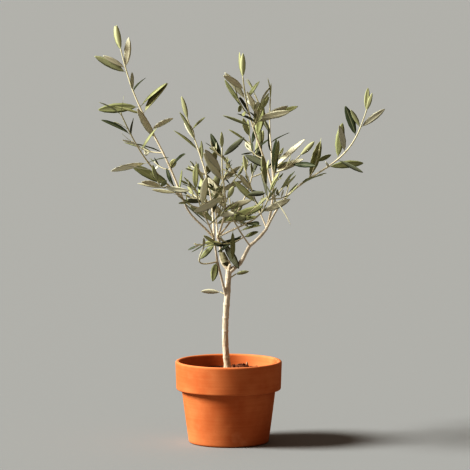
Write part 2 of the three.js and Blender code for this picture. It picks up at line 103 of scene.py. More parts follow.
def turned(outline, sides):
    """The outline turned round Z: x = radius cos(angle), y = radius sin(angle), z = height. Both of its ends
    lie on the axis and become poles."""
    angle = 2 * np.pi * np.arange(sides) / sides
    rings = outline[1:-1]
    across = np.stack([np.cos(angle), np.sin(angle)], axis=1)[None] * rings[:, None, :1]
    height = np.repeat(rings[:, None, 1:], sides, axis=1)
    poles = np.array([[0, 0, outline[0, 1]], [0, 0, outline[-1, 1]]])
    body = np.concatenate([across, height], axis=2).reshape(-1, 3)
    return np.concatenate([poles[:1], body, poles[1:]])


def skin(rings, sides, copies=1):
    """Faces of closed skins, each over `rings` rings of `sides` points that run anticlockwise round the way
    from its foot pole to its tip pole. Points are numbered foot pole, ring after ring, tip pole."""
    side = np.arange(sides)
    beside = (side + 1) % sides
    ring = 1 + sides * np.arange(rings - 1)[:, None]
    quads = np.stack([ring + side, ring + beside, ring + sides + beside, ring + sides + side], axis=2)
    last = 1 + sides * (rings - 1)
    foot = np.stack([0 * side, 1 + beside, 1 + side], axis=1)
    tip = np.stack([0 * side + last + sides, last + side, last + beside], axis=1)
    first = (rings * sides + 2) * np.arange(copies)[:, None, None]
    caps = np.concatenate([foot, tip])
    return [(quads.reshape(-1, 4) + first).reshape(-1, 4), (caps + first).reshape(-1, 3)]


def mesh_piece(name, points, faces, material):
    """An object at the origin: its points are in millimetres, its faces arrays of three or four corners."""
    mesh = bpy.data.meshes.new(name)
    mesh.from_pydata((points * MM).tolist(), [], [face for block in faces for face in block.tolist()])
    mesh.shade_smooth()
    mesh.materials.append(material)
    piece = bpy.data.objects.new(name, mesh)
    bpy.context.scene.collection.objects.link(piece)
    return piece


def settle(piece):
    """Makes the result of a piece's modifiers its own mesh."""
    shaped = piece.evaluated_get(bpy.context.evaluated_depsgraph_get())
    piece.data = bpy.data.meshes.new_from_object(shaped)
    piece.modifiers.clear()


class Wire:
    """A shader socket that takes part in sums: each operator adds one Math node."""

    def __init__(self, finish, socket):
        self.finish, self.socket = finish, socket

    def sum(self, operation, first, second):
        return self.finish.node("ShaderNodeMath", {"operation": operation}, {0: first, 1: second})

    def __add__(self, other):
        return self.sum("ADD", self, other)

    def __sub__(self, other):
        return self.sum("SUBTRACT", self, other)

    def __rsub__(self, other):
        return self.sum("SUBTRACT", other, self)

    def __mul__(self, other):
        return self.sum("MULTIPLY", self, other)

    __radd__ = __add__
    __rmul__ = __mul__


class Finish:
    """A material round one Principled shader, put together node by node."""

    def __init__(self, name, constants):
        self.material = bpy.data.materials.new(name)
        self.material.use_nodes = True
        self.tree = self.material.node_tree
        self.shader = self.tree.nodes["Principled BSDF"]
        for socket, value in constants.items():
            self.shader.inputs[socket].default_value = value
        self.place = self.node("ShaderNodeTexCoord", {}, {}, "Object")

    def node(self, kind, settings, sockets, output=0):
        """Adds a node: its settings are set first, then each socket gets its value or its link."""
        node = self.tree.nodes.new(kind)
        for name, value in settings.items():
            setattr(node, name, value)
        self.feed(node, sockets)
        return Wire(self, node.outputs[output])

    def feed(self, node, sockets):
        """Gives each named socket of a node its value or its link."""
        for name, value in sockets.items():
            if isinstance(value, Wire):
                self.tree.links.new(value.socket, node.inputs[name])
            else:
                node.inputs[name].default_value = value

    def noise(self, scale, detail=2.0, stretch=(1, 1, 1)):
        """Cloudy noise from 0 to 1 with `scale` lumps in a metre, stretched along the axes."""
        where = self.node("ShaderNodeVectorMath", {"operation": "MULTIPLY"}, {0: self.place, 1: stretch})
        return self.node("ShaderNodeTexNoise", {}, {"Vector": where, "Scale": scale, "Detail": detail})

    def between(self, value, low, high):
        """0 below `low`, 1 above `high`, and an eased rise between them."""
        settings = {"interpolation_type": "SMOOTHSTEP"}
        return self.node("ShaderNodeMapRange", settings, {"Value": value, "From Min": low, "From Max": high})

    def mix(self, share, first, second):
        """A share of the second colour in the first one."""
        return self.node("ShaderNodeMix", {"data_type": "RGBA"}, {0: share, 6: first, 7: second}, 2)

    def attribute(self, name, output="Fac"):
        """The number or, from the output "Color", the colour painted on a piece's points."""
        return self.node("ShaderNodeAttribute", {"attribute_name": name}, {}, output)

    def bump(self, height, distance, strength=1.0):
        """A normal tilted by the slope of a height that is `distance` metres from 0 to 1."""
        return self.node("ShaderNodeBump", {}, {"Height": height, "Distance": distance, "Strength": strength})


pot_line = rounded(POT_OUTLINE)
pot_points = turned(pot_line, POT_SIDES)
pot_faces = skin(len(pot_line) - 2, POT_SIDES)
radius = np.hypot(pot_points[:, 0], pot_points[:, 1])
rings = lumps(pot_points * (0.02, 0.02, 1), 2.4, 1) + 0.6 * lumps(pot_points * (0.03, 0.03, 1), 0.9, 2)
wobble = lumps(pot_points, 38, 3) + 0.3 * lumps(pot_points, 9, 4)
relief = THROWING_RINGS * rings + WALL_WOBBLE * wobble
off_axis = np.clip((radius - 20) / 20, 0, 1)
off_foot = np.clip(pot_points[:, 2] / 3, 0, 1)
swell = 1 + relief * off_axis * off_foot / np.maximum(radius, 1)
pot_points[:, :2] *= swell[:, None]

clay = Finish("fired_clay", {"Specular IOR Level": 0.22})
mottle = clay.between(clay.noise(26, 4), 0.32, 0.7)
streaks = clay.between(clay.noise(420, 2, (0.03, 0.03, 1)), 0.35, 0.7)
grain = clay.noise(1500, 3)
height = clay.node("ShaderNodeSeparateXYZ", {}, {0: clay.place}, "Z")
bloom = clay.between(clay.noise(48, 5), 0.56, 0.74) * (0.35 + 0.65 * (1 - clay.between(height, 0.0, 0.05)))
specks = clay.between(clay.noise(900, 1), 0.70, 0.76)
colour = clay.mix(mottle * 0.55 + streaks * 0.15, CLAY_BODY, CLAY_DEEP)
# Painted highlight: a thin band at the top of the lip is mixed towards the pale bloom colour, as where the
# rim catches the light.
painted_lip_highlight = clay.between(height, 0.1150, 0.1168)
colour = clay.mix(bloom * 0.3 + painted_lip_highlight * 0.22, colour, CLAY_BLOOM_AND_HIGHLIGHT)
colour = clay.mix(specks * 0.55, colour, CLAY_DEEP)
clay.feed(clay.shader, {
    "Base Color": colour,
    "Roughness": 0.74 + 0.16 * grain,
    "Normal": clay.bump(streaks * 0.2 + grain * 0.6 - specks * 0.5, 0.0002, 0.6),
})

pot = mesh_piece("thrown_pot", pot_points, pot_faces, clay.material)
drill_line = np.array([(0, -10), (DRAIN_RADIUS, -10), (DRAIN_RADIUS, 20), (0, 20)])
for turn in DRAIN_TURNS:
    centre = DRAIN_CIRCLE * np.array([math.cos(math.radians(turn)), math.sin(math.radians(turn)), 0])
    bit = turned(drill_line, DRAIN_SIDES) + centre
    drill = mesh_piece("drain_drill", bit, skin(2, DRAIN_SIDES), clay.material)
    cut = pot.modifiers.new("drain_hole", "BOOLEAN")
    cut.object = drill
    settle(pot)
    bpy.data.objects.remove(drill)
pot.data.set_sharp_from_angle(angle=math.radians(50))
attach(pot, "root")
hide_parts("terracotta_pot")

# Potting soil: dark red-brown peat and bark fines, filled in loosely to below the rim. It is heaped a little
# round and behind the trunk and has sunk at the back left. Crumbs and one pale pebble lie on it.
SOIL_SIDES = 144
SOIL_TOP = 102
SOIL_OUTLINE = [(0, 10.3, 0), (48.3, 10.3, 5), (60.9, 76, 8), (66.8, SOIL_TOP, 2.5), (0, SOIL_TOP, 0)]
SOIL_HEAPS = [(7, 5, 3.4, 13), (7, 26, 5.6, 8), (20, 27, 7.2, 8.5), (-32, 46, -5, 32)]  # x, y, height, width
SOIL_REACH = 66
CRUMBS = 560
CRUMB_REACH = 64
CRUMB_SIZES = (0.6, 1.6)
LARGE_CRUMBS = (0.08, 1.7)  # their share of all crumbs, and how many times as large they are
PEBBLE_PLACE = (26, 24, 109)
PEBBLE_SIZE = 2.4
PEBBLE_TONE = (0.45, 0.30, 0.20, 1)
SOIL_DARK = (0.095, 0.042, 0.027, 1)
SOIL_LIGHT = (0.27, 0.128, 0.080, 1)


def soil_height(x, y):
    """The soil's level: round heaps high exp(-(distance / wide)^2), the last of them a dip, and lumps of
    three sizes that fade out at the wall."""
    flat = np.stack([x, y, 0 * x], axis=1)
    heap = sum(
        high * np.exp(-((x - across) ** 2 + (y - back) ** 2) / wide ** 2)
        for across, back, high, wide in SOIL_HEAPS
    )
    rough = 0.6 * lumps(flat, 13, 5) + 0.5 * lumps(flat, 5, 6) + 0.3 * lumps(flat, 2, 7)
    edge = np.clip((SOIL_REACH - np.hypot(x, y)) / 6, 0, 1)
    return SOIL_TOP - 1 + heap + rough * edge


soil_line = rounded(SOIL_OUTLINE, spacing=1.1)
soil_points = turned(soil_line, SOIL_SIDES)
level = soil_height(soil_points[:, 0], soil_points[:, 1]) - SOIL_TOP
soil_points[:, 2] += level * np.clip(soil_points[:, 2] - SOIL_TOP + 1, 0, 1)

soil_finish = Finish("potting_mix", {"Roughness": 0.95, "Specular IOR Level": 0.25})
clods = soil_finish.noise(700, 5)
colour = soil_finish.mix(soil_finish.between(clods, 0.3, 0.72), SOIL_DARK, SOIL_LIGHT)
soil_finish.feed(soil_finish.shader, {"Base Color": colour, "Normal": soil_finish.bump(clods, 0.0012)})
soil = mesh_piece("loose_soil", soil_points, skin(len(soil_line) - 2, SOIL_SIDES), soil_finish.material)
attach(soil, "root")
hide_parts("potting_soil")


def nuggets(centres, sizes, chance):
    """Lumpy grains of 3 rings of 6 points between two poles: a ball squeezed along three chance axes, with
    each point pushed in or out by up to a quarter."""
    lift = np.radians([-50, 0, 50])
    angle = 2 * np.pi * np.arange(6) / 6
    ball = np.stack([
        np.outer(np.cos(lift), np.cos(angle)), np.outer(np.cos(lift), np.sin(angle)),
        np.outer(np.sin(lift), np.ones(6)),
    ], axis=2).reshape(-1, 3)
    ball = np.concatenate([[[0, 0, -1]], ball, [[0, 0, 1]]])
    points = ball[None] * (1 + chance.uniform(-0.25, 0.25, (len(centres), len(ball), 1)))
    points = points * chance.uniform(0.55, 1.25, (len(centres), 1, 3)) * sizes[:, None, None]
    turn = np.linalg.qr(chance.normal(size=(len(centres), 3, 3)))[0]
    turn[:, 2] *= np.sign(np.linalg.det(turn))[:, None]
    return (points @ turn + centres[:, None]).reshape(-1, 3)


def paint(piece, name, values):
    """Gives each point of a piece a number or a colour, under the name that its finish reads."""
    kind, field = ("FLOAT_COLOR", "color") if np.ndim(values) == 2 else ("FLOAT", "value")
    attribute = piece.data.attributes.new(name, kind, "POINT")
    attribute.data.foreach_set(field, np.asarray(values, np.float32).ravel())


chance = np.random.default_rng(11)
angle = chance.uniform(0, 2 * np.pi, CRUMBS)
out = CRUMB_REACH * np.sqrt(chance.uniform(0, 1, CRUMBS))
large, larger = LARGE_CRUMBS
sizes = chance.uniform(*CRUMB_SIZES, CRUMBS) * np.where(chance.random(CRUMBS) < large, larger, 1)
x, y = out * np.cos(angle), out * np.sin(angle)
centres = np.stack([x, y, soil_height(x, y) + 0.3 * sizes], axis=1)
lightening = np.array(SOIL_LIGHT) - np.array(SOIL_DARK)
crumb_tone = np.array(SOIL_DARK) + chance.random((CRUMBS, 1)) ** 2 * lightening * 1.6
centres = np.append(centres, [PEBBLE_PLACE], axis=0)
sizes = np.append(sizes, PEBBLE_SIZE)
crumb_tone = np.append(crumb_tone, [PEBBLE_TONE], axis=0)
crumb_finish = Finish("soil_crumbs", {"Roughness": 0.9, "Specular IOR Level": 0.25})
rough = crumb_finish.noise(1800, 3)
tone = crumb_finish.attribute("tone", "Color")
crumb_finish.feed(crumb_finish.shader, {
    "Base Color": crumb_finish.mix(rough * 0.5, tone, SOIL_DARK), "Normal": crumb_finish.bump(rough, 0.0004),
})
crumb_points = nuggets(centres, sizes, chance)
crumbs = mesh_piece("soil_crumbs", crumb_points, skin(3, 6, len(sizes)), crumb_finish.material)
paint(crumbs, "tone", np.repeat(crumb_tone, len(crumb_points) // len(sizes), axis=0))
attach(crumbs, "root")

# Trunk and boughs: young olive wood under thin grey-cream bark. The trunk flares where it leaves the soil
# and swells at old leaf joints. It parts into slender boughs at two pruned stubs and a knob of old wood,
# round which the bark is darkened to olive, partly as lichen and partly as painted shade.
FLARE_WIDTH = 2.4
FLARE_HEIGHT = 7
LIMBS = {  # where it grows from and the share along it, tip, bow, sway, radius at the foot and at the tip
    "trunk": (None, 1, (0, 2, 247), (-4, 0, 0), (-1, 0, 0), 4.5, 4.1),
    "left_bough": ("trunk", 1, (-16, 8, 293), (-3, 2, -2), (-2, 0, -1), 2.8, 1.8),
    "right_bough": ("trunk", 1, (30, 8, 281), (4, 2, -4), (1, 0, -1), 3, 2.4),
    "right_middle_bough": ("right_bough", 1, (54, 10, 305), (1, 0, -1), (0, 0, 0), 2.4, 2),
    "right_upper_bough": ("right_middle_bough", 1, (63, 14, 359), (2, 0, 0), (0, 0, 0), 1.9, 1.4),
    "side_shoot": ("trunk", 0.7, (-16, -12, 260), (0, 0, 0), (0, 0, 0), 1.9, 1.6),
    "side_middle_shoot": ("side_shoot", 1, (-21, -15, 294), (0, 0, 0), (0, 0, 0), 1.6, 1.5),
    "side_upper_shoot": ("side_middle_shoot", 1, (-65, -20, 350), (-3, 0, -2), (1, 0, 1), 1.5, 1.3),
}
TRUNK_FOOT = (-1, 0, 102.3)
STUBS = [((0, 2, 242), (8.5, -1, 250), 3, 2.7), ((0, 2, 244), (2, -2, 255.5), 2.4, 1.6)]
KNOB_HEAD = ((-4, 3.5, 257.5), (-9, 5.5, 271.5), 5.2, 2.8)
KNOB_STALKS = [((1, 2, 245), (0, 2.5, 260), 2.2, 2.4), ((-3, 6.5, 247), (-4, 6, 262), 2.8, 3.4)]
WOOD_SIDES = 24
WOOD_VOXEL = 0.36  # the limbs are fused into one skin on a lattice this fine
JOINT_SPACING = 19
JOINT_SWELL = 0.09
BARK_PALE = (0.66, 0.590, 0.485, 1)
BARK_TAN = (0.50, 0.41, 0.30, 1)
BARK_DARK = (0.17, 0.11, 0.065, 1)
# dark olive round the knob of old wood: partly lichen, partly painted shade
BARK_LICHEN_AND_SHADE = (0.17, 0.165, 0.095, 1)


class Limb:
    """A run of wood: straight from foot to tip, plus an arc of bow sin(pi t) and an S-bend of
    sway sin(2 pi t). Its radius falls evenly from thick to thin."""

    def __init__(self, foot, tip, bow, sway, thick, thin):
        self.foot, self.tip, self.bow, self.sway = (np.array(v, float) for v in (foot, tip, bow, sway))
        self.thick, self.thin = thick, thin
        self.length = np.linalg.norm(self.tip - self.foot)

    def at(self, t):
        t = np.asarray(t, float)[..., None]
        bend = self.bow * np.sin(np.pi * t) + self.sway * np.sin(2 * np.pi * t)
        return self.foot + (self.tip - self.foot) * t + bend

    def axes(self, t):
        """Unit vectors along the limb, backwards across it and sideways across it."""
        along = unit(self.at(np.asarray(t) + 1e-3) - self.at(np.asarray(t) - 1e-3))
        back = unit(np.array([0, 1, 0]) - along * along[..., 1:2])
        return along, back, np.cross(along, back)

    def radius(self, t):
        return self.thick + (self.thin - self.thick) * np.asarray(t)


def rod(limb, t, radii, sides):
    """A round rod: centre(t) + radius(t) (back cos(angle) + side sin(angle)), with a pole at either end."""
    angle = (2 * np.pi * np.arange(sides) / sides)[:, None]
    _, back, side = limb.axes(t)
    around = back[:, None] * np.cos(angle) + side[:, None] * np.sin(angle)
    body = limb.at(t)[:, None] + radii[:, None, None] * around
    return np.concatenate([limb.at(t[:1]), body.reshape(-1, 3), limb.at(t[-1:])])


def join_skins(parts):
    """Several closed skins, each its points and its faces, as one set of points and faces."""
    first = np.cumsum([0] + [len(points) for points, _ in parts])
    faces = [block + start for (_, blocks), start in zip(parts, first) for block in blocks]
    return np.concatenate([points for points, _ in parts]), faces


limbs = {}
for name, (source, share, tip, bow, sway, thick, thin) in LIMBS.items():
    foot = limbs[source].at(share) if source else TRUNK_FOOT
    limbs[name] = Limb(foot, tip, bow, sway, thick, thin)
short_wood = [*STUBS, KNOB_STALKS[0], KNOB_HEAD, KNOB_STALKS[1]]
stubs = [Limb(foot, tip, (0, 0, 0), (0, 0, 0), thick, thin) for foot, tip, thick, thin in short_wood]
knob_head = stubs[short_wood.index(KNOB_HEAD)]

rods = []
for limb in [*limbs.values(), *stubs]:
    t = np.linspace(0, 1, max(6, round(limb.length)))
    radii = limb.radius(t)
    if limb is limbs["trunk"]:
        radii = radii + FLARE_WIDTH * np.exp(-t * limb.length / FLARE_HEIGHT)
    rods.append((rod(limb, t, radii, WOOD_SIDES), skin(len(t), WOOD_SIDES)))

bark = Finish("olive_bark", {"Specular IOR Level": 0.3})
patches = bark.between(bark.noise(120, 4, (1, 1, 0.45)), 0.36, 0.68)
fissures = bark.between(bark.noise(1100, 3, (1, 1, 0.12)), 0.56, 0.72)
pores = bark.between(bark.noise(1500, 1, (1, 1, 0.5)), 0.68, 0.76)
fine = bark.noise(2600, 2)
colour = bark.mix(patches * 0.62, BARK_PALE, BARK_TAN)
colour = bark.mix(fissures * 0.38 + pores * 0.45, colour, BARK_DARK)
# Painted shade and lichen: patches round the knob of old wood darken the bark to dark olive.
lichen_and_shade = bark.between(bark.attribute("knob_lichen_and_shade") + 1.3 * bark.noise(420, 3), 1.1, 1.5)
colour = bark.mix(lichen_and_shade * 0.85, colour, BARK_LICHEN_AND_SHADE)
bark.feed(bark.shader, {
    "Base Color": colour,
    "Roughness": 0.66 + 0.2 * fine,
    "Normal": bark.bump(fine * 0.35 - fissures * 0.9 - pores * 0.5, 0.0002, 0.8),
})

wood = mesh_piece("trunk_and_boughs", *join_skins(rods), bark.material)
fuse = wood.modifiers.new("fused_forks", "REMESH")
fuse.mode = "VOXEL"
fuse.voxel_size = WOOD_VOXEL * MM
ease = wood.modifiers.new("eased_forks", "SMOOTH")
ease.factor = 0.5
ease.iterations = 7
settle(wood)
count = len(wood.data.vertices)
points, normals = np.empty(3 * count), np.empty(3 * count)
wood.data.vertices.foreach_get("co", points)
wood.data.vertex_normals.foreach_get("vector", normals)
points, normals = points.reshape(-1, 3) / MM, normals.reshape(-1, 3)
nearest, girth, joints = np.full(count, np.inf), np.zeros(count), np.zeros(count)
for limb in limbs.values():
    t = np.linspace(0, 1, max(8, round(limb.length / 1.5)))
    apart = np.linalg.norm(points[:, None] - limb.at(t)[None], axis=2) - limb.radius(t)
    best = apart.argmin(axis=1)
    closer = apart.min(axis=1) < nearest
    nearest = np.where(closer, apart.min(axis=1), nearest)
    girth = np.where(closer, limb.radius(t[best]), girth)
    run = t[best] * limb.length / JOINT_SPACING
    bulge = np.exp(-((run - np.round(run)) * JOINT_SPACING / 1.7) ** 2) * (run > 0.5)
    joints = np.where(closer, bulge, joints)
grain = lumps(points * (1, 1, 0.22), 1.3, 21) + 0.7 * lumps(points * (1, 1, 0.3), 2.9, 22)
relief = 0.045 * girth * grain + 0.06 * girth * lumps(points, 7, 23) + JOINT_SWELL * girth * joints
relief = relief * np.clip((points[:, 2] - TRUNK_FOOT[2]) / 2, 0, 1)
wood.data.vertices.foreach_set("co", ((points + normals * relief[:, None]) * MM).ravel())
wood.data.shade_smooth()
wood.data.update()
# Nearness to the knob's head, which places its painted shade and lichen.
apart = np.linalg.norm(points[:, None] - knob_head.at(np.linspace(0, 1, 6))[None], axis=2).min(axis=1)
paint(wood, "knob_lichen_and_shade", np.exp(-(np.maximum(apart - 3.6, 0) / 2.6) ** 2))
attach(wood, "root")
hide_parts(*LIMBS)

# Sprays: each grows from a bough's tip or from the trunk as one green-tan stem with opposite leaves, side
# twigs from its lower joints, and finer shoots with small new leaves. A leaf is leathery, deep green above
# and silvery with a raised rib below.
SPRAYS = {  # grows from, share along it, tip, bow, sway, thick, first, roll, leaf, joints' and twigs' seeds
    "far_left_foliage": (
        "side_upper_shoot", 1, (-154, 40, 559), (-4, 0, -2), (3, 0, 1), 1.4, 0.18, 105, 48,
        [1905, 6353, 92787, 5094, 83942, 68245, 78566, 2645, 8649, 37229], [1368]),
    "near_left_foliage": (
        "side_upper_shoot", 1, (-150, -88, 476), (-8, -6, -4), (0, 0, 0), 1.1, 0.22, 45, 45,
        [5900, 19573, 5307, 73513, 5892, 46853, 6723], [4296]),
    "back_left_foliage": (
        "side_middle_shoot", 1, (-63, 90, 465), (9, 15, 0), (1, 0, 0), 1.2, 0.3, 15, 42,
        [7055, 27496, 83385, 81982, 46250, 35714, 17485, 64027, 7474], [997, 1272]),
    "left_centre_foliage": (
        "side_middle_shoot", 1, (-46, -55, 366), (-1, -6, 0), (1, 0, 0), 1, 0.3, 45, 45,
        [415, 97478, 28217, 58374, 31370], [8648]),
    "centre_front_foliage": (
        "left_bough", 1, (-9, -75, 427), (7, -25, 2), (3, 0, 0), 1.3, 0.14, 135, 45,
        [3235, 86354, 44040, 74696, 54159, 62240, 32153], [6128]),
    "crossing_foliage": (
        "left_bough", 1, (58, -60, 363), (10, -20, -7), (-2, 0, 2), 1.2, 0.26, 45, 42,
        [54555, 3458, 9602, 19018, 4703, 15983], [3058, 3103]),
    "back_foliage": (
        "left_bough", 1, (42, 135, 407), (10, 20, -8), (0, 0, -1), 1.1, 0.3, 135, 45,
        [83956, 49297, 30196, 968, 7630, 88794], [6126, 6262]),
    "inner_foliage": (
        "right_bough", 1, (1, -40, 334), (-1, -10, 0), (0, 0, 0), 1, 0.3, 60, 32,
        [2517, 55236, 5467, 6320, 6107], [3383]),
    "top_middle_foliage": (
        "right_upper_bough", 1, (20, 10, 521), (-3, 10, -2), (2, 0, 0), 1.4, 0.3, 15, 45,
        [74303, 61827, 9551, 662, 15237, 10235, 17028], [2713, 7346]),
    "back_right_foliage": (
        "right_upper_bough", 1, (60, 100, 484), (-1, 20, -2), (1, 0, 0), 1.1, 0.26, 30, 45,
        [137, 12980, 8669, 86979, 8453, 83250, 42909], [163]),
    "dark_cluster_foliage": (
        "right_upper_bough", 1, (65, -26, 398), (0, -4, 0), (0, 0, 0), 1, 0.22, 45, 45,
        [78635, 67774, 5181, 79558], [8549]),
    "far_right_foliage": (
        "right_middle_bough", 1, (194, -40, 478), (4, -10, -3), (-9, 0, 7), 1.4, 0.22, 45, 42,
        [62907, 20373, 6418, 50190, 32451, 97567, 73497, 48740, 10517], [9118]),
    "lower_centre_foliage": (
        "left_bough", 1, (-22, 45, 372), (0, 10, 0), (0, 0, 0), 1, 0.2, 165, 34,
        [8722, 72384, 2606, 2442], [5757, 4116]),
    "right_centre_foliage": (
        "right_middle_bough", 1, (24, 40, 385), (0, 10, -4), (0, 0, 0), 1, 0.3, 45, 34,
        [41316, 2799, 6027, 1777, 14234], [5622]),
    "left_cluster_sprig": (
        "side_upper_shoot", 1, (-81, -48, 377), (0, -2, 0), (0, 0, 0), 1, 0.34, 165, 36,
        [27279, 49538, 90330], []),
    "hooked_sprig": (
        "side_shoot", 1, (-35, -34, 283), (-15, -2, -11), (0, 0, 0), 0.9, 0.12, 120, 26,
        [90641, 86091, 5741], []),
    "low_left_sprig": (
        "side_middle_shoot", 1, (-48, -34, 288), (-2, 0, -5), (0, 0, 0), 0.9, 0.3, 15, 28,
        [21649, 91011, 7722], []),
    "hanging_sprig": (
        "left_bough", 1, (5, 30, 270), (1, 2, 1), (0, 0, 0), 1, 0.34, 75, 36,
        [52594, 59141, 74691], []),
    "fork_sprig": (
        "trunk", 0.92, (9, 0, 240.5), (0, 0, -1), (0, 0, 0), 0.9, 0.9, 90, 34,
        [30180], []),
    "trunk_sprig": (
        "trunk", 0.76, (-11, 4, 214.5), (0, 0, -1), (0, 0, 0), 0.9, 0.9, 0, 34,
        [5225], []),
}
STEM_TIP_RADIUS = 0.7
PAIR_CROWDING = 0.92
LAST_PAIR = 0.985
PAIR_SLIDE = 0.35
QUARTER_TURN = 90
TURN_JITTER = 40
SIDE_JITTER = 24
SPREAD_RANGE = (28, 88)
SPREAD_CLOSING = 0.7
SIZE_AT_FOOT = 1.12
SIZE_CLOSING = 0.42
SIZE_RANGE = (0.72, 1.28)
TWIST_RANGE = (-90, 90)
ARCH_RANGE = (-0.06, 0.14)
MISSING_SHARE = 0.12  # of the leaves, each joint having two
TWIG_TURN_JITTER = 40
TWIG_SPREAD = (34, 52)
TWIG_SHORTENING = 0.4
TWIG_SAG = 0.1
SIDE_TWIG = {"zone": (0.1, 0.7), "lengths": (42, 66), "pairs": 3, "first": 0.4, "leaf": 0.82, "thick": 0.8}
SHOOT = {"zone": (0.05, 0.95), "lengths": (18, 40), "pairs": 2, "first": 0.7, "leaf": 0.34, "thick": 0.6}
HEART = (0, 0, 372)
HEART_RADIUS = 92  # only joints this near the middle of the crown bear the finer shoots
SHOOT_LEAF_AGE = 0.6  # as if it stood this share of the way up a stem
BEAD_STEP = 3
BEAD_GAP = 0.7
LEAF_BEADS = 10
LEAST_BEAD = 1.2
SPRAY_REACH = 75
LEAF_SLENDERNESS = 4.3
LEAF_WIDTHS = (0.8, 1.05)
LEAF_TWIST = 0.35
LEAF_FOLDS = (-0.05, 0.4)
LEAF_BEND = 0.05
BLADE_THICKNESS = 0.16
STALK_THICKENING = 0.17
RIB_DEPTH = 0.2
RIB_GROOVE = 0.10
STALK_RADIUS = 0.35
STALK_SHARE = 0.1
BLADE_FULLNESS = 0.75
BROADER = {"hooked_sprig": 1.4, "trunk_sprig": 1.2}  # young leaves low on the tree are rounder
LEAF_CLOUDS = (0.155, 0.152, 0.078, 1)
RIB_LINE = (0.50, 0.47, 0.33, 1)
UNDERSIDE_LIGHT = (0.49, 0.465, 0.36, 1)
UNDERSIDE_GREY = (0.34, 0.32, 0.23, 1)
TWIG_WOODY = (0.72, 0.65, 0.52, 1)
TWIG_GREEN = (0.61, 0.59, 0.42, 1)
TWIG_SPECKS = (0.30, 0.19, 0.11, 1)
TWIG_SIDES = 8
BARK_OVER_STEM = 1.16  # a stem's radius with its bark, against the radius that the rule gives it
NODE_SWELL = 0.28
TIP_NARROWING = 0.45
THICKEST_TWIG = 0.9
MAIN_STEM_AGE = (0.75, 0)  # from woody at 0 to green at 1: how far it runs along a stem, and where it starts
TWIG_AGE = (0.5, 0.35)
# Leaf tones. Besides the leaves' own colours, the deep and silver tones serve as painted shade and painted
# highlight: the seeds deal them out to the leaves that are to look shaded or lit.
LEAF_TONES = {
    "olive": (0.322, 0.340, 0.190, 1), "deep_and_shaded": (0.041, 0.056, 0.031, 1),
    "silver": (0.62, 0.60, 0.47, 1), "young": (0.43, 0.44, 0.255, 1),
}
TONE_SHARES = (0.5, 0.24, 0.2, 0.06)  # of olive, deep, silver and young leaves
TONE_RANGE = (0.8, 1.25)
YOUNG_FROM = 0.93  # past this share of a stem, all its leaves are young
TONE_AND_SHADE_SEEDS = {  # each spray deals its leaves' tones out from one seed
    "far_left_foliage": 99939, "near_left_foliage": 64863, "back_left_foliage": 66338,
    "left_centre_foliage": 3315, "centre_front_foliage": 56016, "crossing_foliage": 37467,
    "back_foliage": 96337, "inner_foliage": 72987, "top_middle_foliage": 29972, "back_right_foliage": 16322,
    "dark_cluster_foliage": 95258, "far_right_foliage": 20376, "lower_centre_foliage": 94451,
    "right_centre_foliage": 60103, "left_cluster_sprig": 80212, "hooked_sprig": 1918,
    "low_left_sprig": 59525, "hanging_sprig": 1275, "fork_sprig": 1006, "trunk_sprig": 1083,
}


def stream_of(seed):
    """Repeatable chance: each step takes 1664525 state + 1013904223 over 2 to the 32nd and keeps the rest."""
    modulus = 2 ** 32
    state = (seed * 2654435761) % modulus

    def draw(low, high):
        nonlocal state
        state = (1664525 * state + 1013904223) % modulus
        return low + (high - low) * (state / modulus)

    return draw


def turned_out(along, back, side, spread, around):
    """The direction that leaves a stem at an angle `spread`, turned `around` it."""
    return along * math.cos(spread) + math.sin(spread) * (side * math.cos(around) + back * math.sin(around))


def joint_of(stem, plan, k, draw):
    """Joint k of a stem and its leaves. It stands at first + (1 - first) rank of the stem, where rank is
    (k / (pairs - 1)) to the power of the crowding. It slides a little unless it is the topmost, and is
    turned a quarter on from the last. Towards the tip the leaves close up with t^4 and shorten with t^3."""
    pairs = plan["pairs"]
    rank = (k / (pairs - 1)) ** PAIR_CROWDING if pairs > 1 else 1
    slide = draw(-PAIR_SLIDE, PAIR_SLIDE) / pairs if k < pairs - 1 else 0
    t = plan["first"] + (1 - plan["first"]) * (rank * LAST_PAIR + slide)
    foot, (along, back, side) = stem.at(t), stem.axes(t)
    turn = plan["roll"] + QUARTER_TURN * k + draw(-TURN_JITTER, TURN_JITTER)
    leaves = []
    for half in (0, 180):
        around = math.radians(turn + half + draw(-SIDE_JITTER, SIDE_JITTER))
        spread = math.radians(draw(*SPREAD_RANGE) * (1 - SPREAD_CLOSING * t ** 4))
        length = plan["leaf"] * (SIZE_AT_FOOT - SIZE_CLOSING * t ** 3) * draw(*SIZE_RANGE)
        twist = math.radians(draw(*TWIST_RANGE))
        arch = draw(*ARCH_RANGE)
        missing = draw(0, 1) < MISSING_SHARE
        out = turned_out(along, back, side, spread, around)
        face = unit(along - out * along.dot(out))
        face = face * math.cos(twist) + np.cross(out, face) * math.sin(twist)
        if not missing:
            leaves.append({"foot": foot, "out": out, "face": face, "length": length, "arch": arch, "t": t})
    return {"t": t, "foot": foot, "axes": (along, back, side), "turn": turn}, leaves


